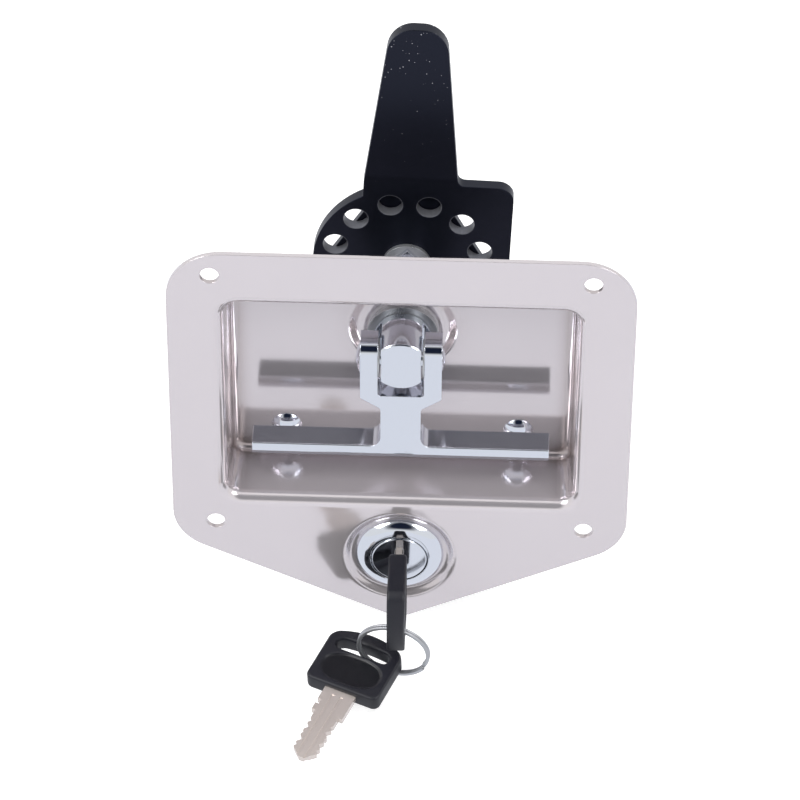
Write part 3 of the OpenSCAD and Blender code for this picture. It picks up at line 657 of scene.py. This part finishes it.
class LATCH_OT_stage(bpy.types.Operator):
    """Set the camera, the lights, the white surroundings and the floor."""

    bl_idname = "latch.stage"
    bl_label = "Stage"

    def execute(self, context):
        scene = context.scene
        scene.view_settings.view_transform = "Standard"
        self.camera(scene)
        self.world(scene)
        self.floor(scene)
        for name, place, size, watts, mirrored in (
            ("left_softbox", (-0.9, -0.5, 0.9), 0.7, 9, True),
            ("right_softbox", (0.9, -0.6, 0.8), 0.6, 6, True),
            ("front_softbox", (0.0, -0.7, 1.0), 0.6, 8, False),
        ):
            self.lamp(scene, name, place, size, watts, mirrored)
        return {"FINISHED"}

    def axes(self, stage):
        """The camera's axes (right, down, away): the room's, turned by elevation, azimuth and roll."""
        room = Matrix(((1, 0, 0), (0, 0, -1), (0, 1, 0)))
        turn = Matrix.Rotation(stage.roll, 3, "Z") @ Matrix.Rotation(stage.azimuth, 3, "Y")
        return turn @ Matrix.Rotation(stage.elevation, 3, "X") @ room

    def camera(self, scene):
        """A camera that sees the flange's front centre at its given place."""
        stage = scene.latch_stage
        axes = self.axes(stage)
        data = bpy.data.cameras.new("camera")
        data.lens, data.sensor_width = stage.lens, 36
        data.clip_start, data.clip_end = 0.05, 30
        camera = bpy.data.objects.new("camera", data)
        scene.collection.objects.link(camera)
        flange_front = Vector((0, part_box("pan")[0].y, 0))
        place = flange_front - axes.transposed() @ Vector(stage.place)
        upright = Matrix((axes[0], -axes[1], -axes[2])).transposed()
        camera.matrix_world = Matrix.Translation(place) @ upright.to_4x4()
        scene.camera = camera

    def world(self, scene):
        """Surroundings that are white to the camera, an even light to matt faces, and to metal white all
        round but for a dim patch behind the camera, which fades in between two angles from its line of
        sight."""
        white, bright, dim = grey(1.0), grey(0.9), linear("#1c2233")
        outer, inner = math.cos(math.radians(33)), math.cos(math.radians(18))
        stage = scene.latch_stage
        scene.world = bpy.data.worlds.new("studio")
        tree = emptied(scene.world)
        ray = add(tree, "ShaderNodeLightPath")
        aim = add(tree, "ShaderNodeTexCoord")["Generated"]
        behind = tuple(-self.axes(stage)[2])
        facing = add(tree, "ShaderNodeVectorMath", (aim, behind), operation="DOT_PRODUCT")["Value"]
        patch = add(tree, "ShaderNodeMapRange", (facing, outer, inner))[0]
        patched = {"Factor": patch, "A": bright, "B": dim}
        mirrored = add(tree, "ShaderNodeMix", patched, data_type="RGBA")["Result"]
        by_metal = {"Factor": ray["Is Glossy Ray"], "A": grey(stage.sky), "B": mirrored}
        lit = add(tree, "ShaderNodeMix", by_metal, data_type="RGBA")["Result"]
        by_camera = {"Factor": ray["Is Camera Ray"], "A": lit, "B": white}
        seen = add(tree, "ShaderNodeMix", by_camera, data_type="RGBA")["Result"]
        light = add(tree, "ShaderNodeBackground", {"Color": seen, "Strength": 1.0})
        add(tree, "ShaderNodeOutputWorld", {"Surface": light[0]})

    def floor(self, scene):
        """A wide pale floor below the spare key's swing: it takes shadows, and glows to camera and
        metal."""
        half, drop = 3.0, 8.0 * MM
        glow, pale, mirrored = 0.5, grey(0.8), linear("#f2f4fa")
        low = CAD_BOX[0].z - drop
        square = [(-half, -half, low), (half, -half, low), (half, half, low), (-half, half, low)]
        mesh = bpy.data.meshes.new("floor")
        mesh.from_pydata(square, [], [(0, 1, 2, 3)])
        material = bpy.data.materials.new("pale_floor")
        tree = emptied(material)
        ray = add(tree, "ShaderNodeLightPath")
        strength = add(tree, "ShaderNodeMath", (ray["Is Camera Ray"], glow), operation="MULTIPLY")[0]
        to_camera = add(tree, "ShaderNodeEmission", {"Color": grey(1.0), "Strength": strength})[0]
        matt = add(tree, "ShaderNodeBsdfDiffuse", {"Color": pale})[0]
        shadowed = add(tree, "ShaderNodeAddShader", (to_camera, matt))[0]
        to_metal = add(tree, "ShaderNodeEmission", {"Color": mirrored, "Strength": 1.0})[0]
        surface = add(tree, "ShaderNodeMixShader", (ray["Is Glossy Ray"], shadowed, to_metal))[0]
        add(tree, "ShaderNodeOutputMaterial", {"Surface": surface})
        mesh.materials.append(material)
        floor = bpy.data.objects.new("floor", mesh)
        scene.collection.objects.link(floor)

    def lamp(self, scene, name, place, size, watts, mirrored):
        """A square softbox aimed at the latch's middle, which polished metal may mirror or not."""
        data = bpy.data.lights.new(name, "AREA")
        data.size, data.energy = size, watts
        lamp = bpy.data.objects.new(name, data)
        lamp.location = place
        lamp.visible_glossy = mirrored
        lamp.rotation_mode = "QUATERNION"
        lamp.rotation_quaternion = (-Vector(place)).to_track_quat("-Z", "Y")
        scene.collection.objects.link(lamp)


class LATCH_PT_sidebar(bpy.types.Panel):
    """Lists the latch's operators and values."""

    bl_label = "Trailer door latch"
    bl_idname = "LATCH_PT_sidebar"
    bl_space_type = "VIEW_3D"
    bl_region_type = "UI"
    bl_category = "Latch"

    def draw(self, context):
        for operator in OPERATORS:
            self.layout.operator(operator.bl_idname)
        for name, group in GROUPS.items():
            box = self.layout.box()
            for value in group.__annotations__:
                box.prop(getattr(context.scene, name), value)


OPERATORS = (LATCH_OT_finishes, LATCH_OT_split_ring, LATCH_OT_bows, LATCH_OT_threads, LATCH_OT_stage)
GROUPS = {"latch_finishes": LatchFinishes, "latch_sizes": LatchSizes, "latch_stage": LatchStage}


def register():
    for cls in (*GROUPS.values(), *OPERATORS, LATCH_PT_sidebar):
        bpy.utils.register_class(cls)
    for name, group in GROUPS.items():
        setattr(bpy.types.Scene, name, bpy.props.PointerProperty(type=group))


def unregister():
    for name in GROUPS:
        delattr(bpy.types.Scene, name)
    for cls in (LATCH_PT_sidebar, *reversed(OPERATORS), *GROUPS.values()):
        bpy.utils.unregister_class(cls)


def main():
    register()
    bpy.ops.latch.finishes()
    bpy.ops.latch.split_ring()
    bpy.ops.latch.bows()
    bpy.ops.latch.threads()
    bpy.ops.latch.stage()


if __name__ == "__main__":
    main()
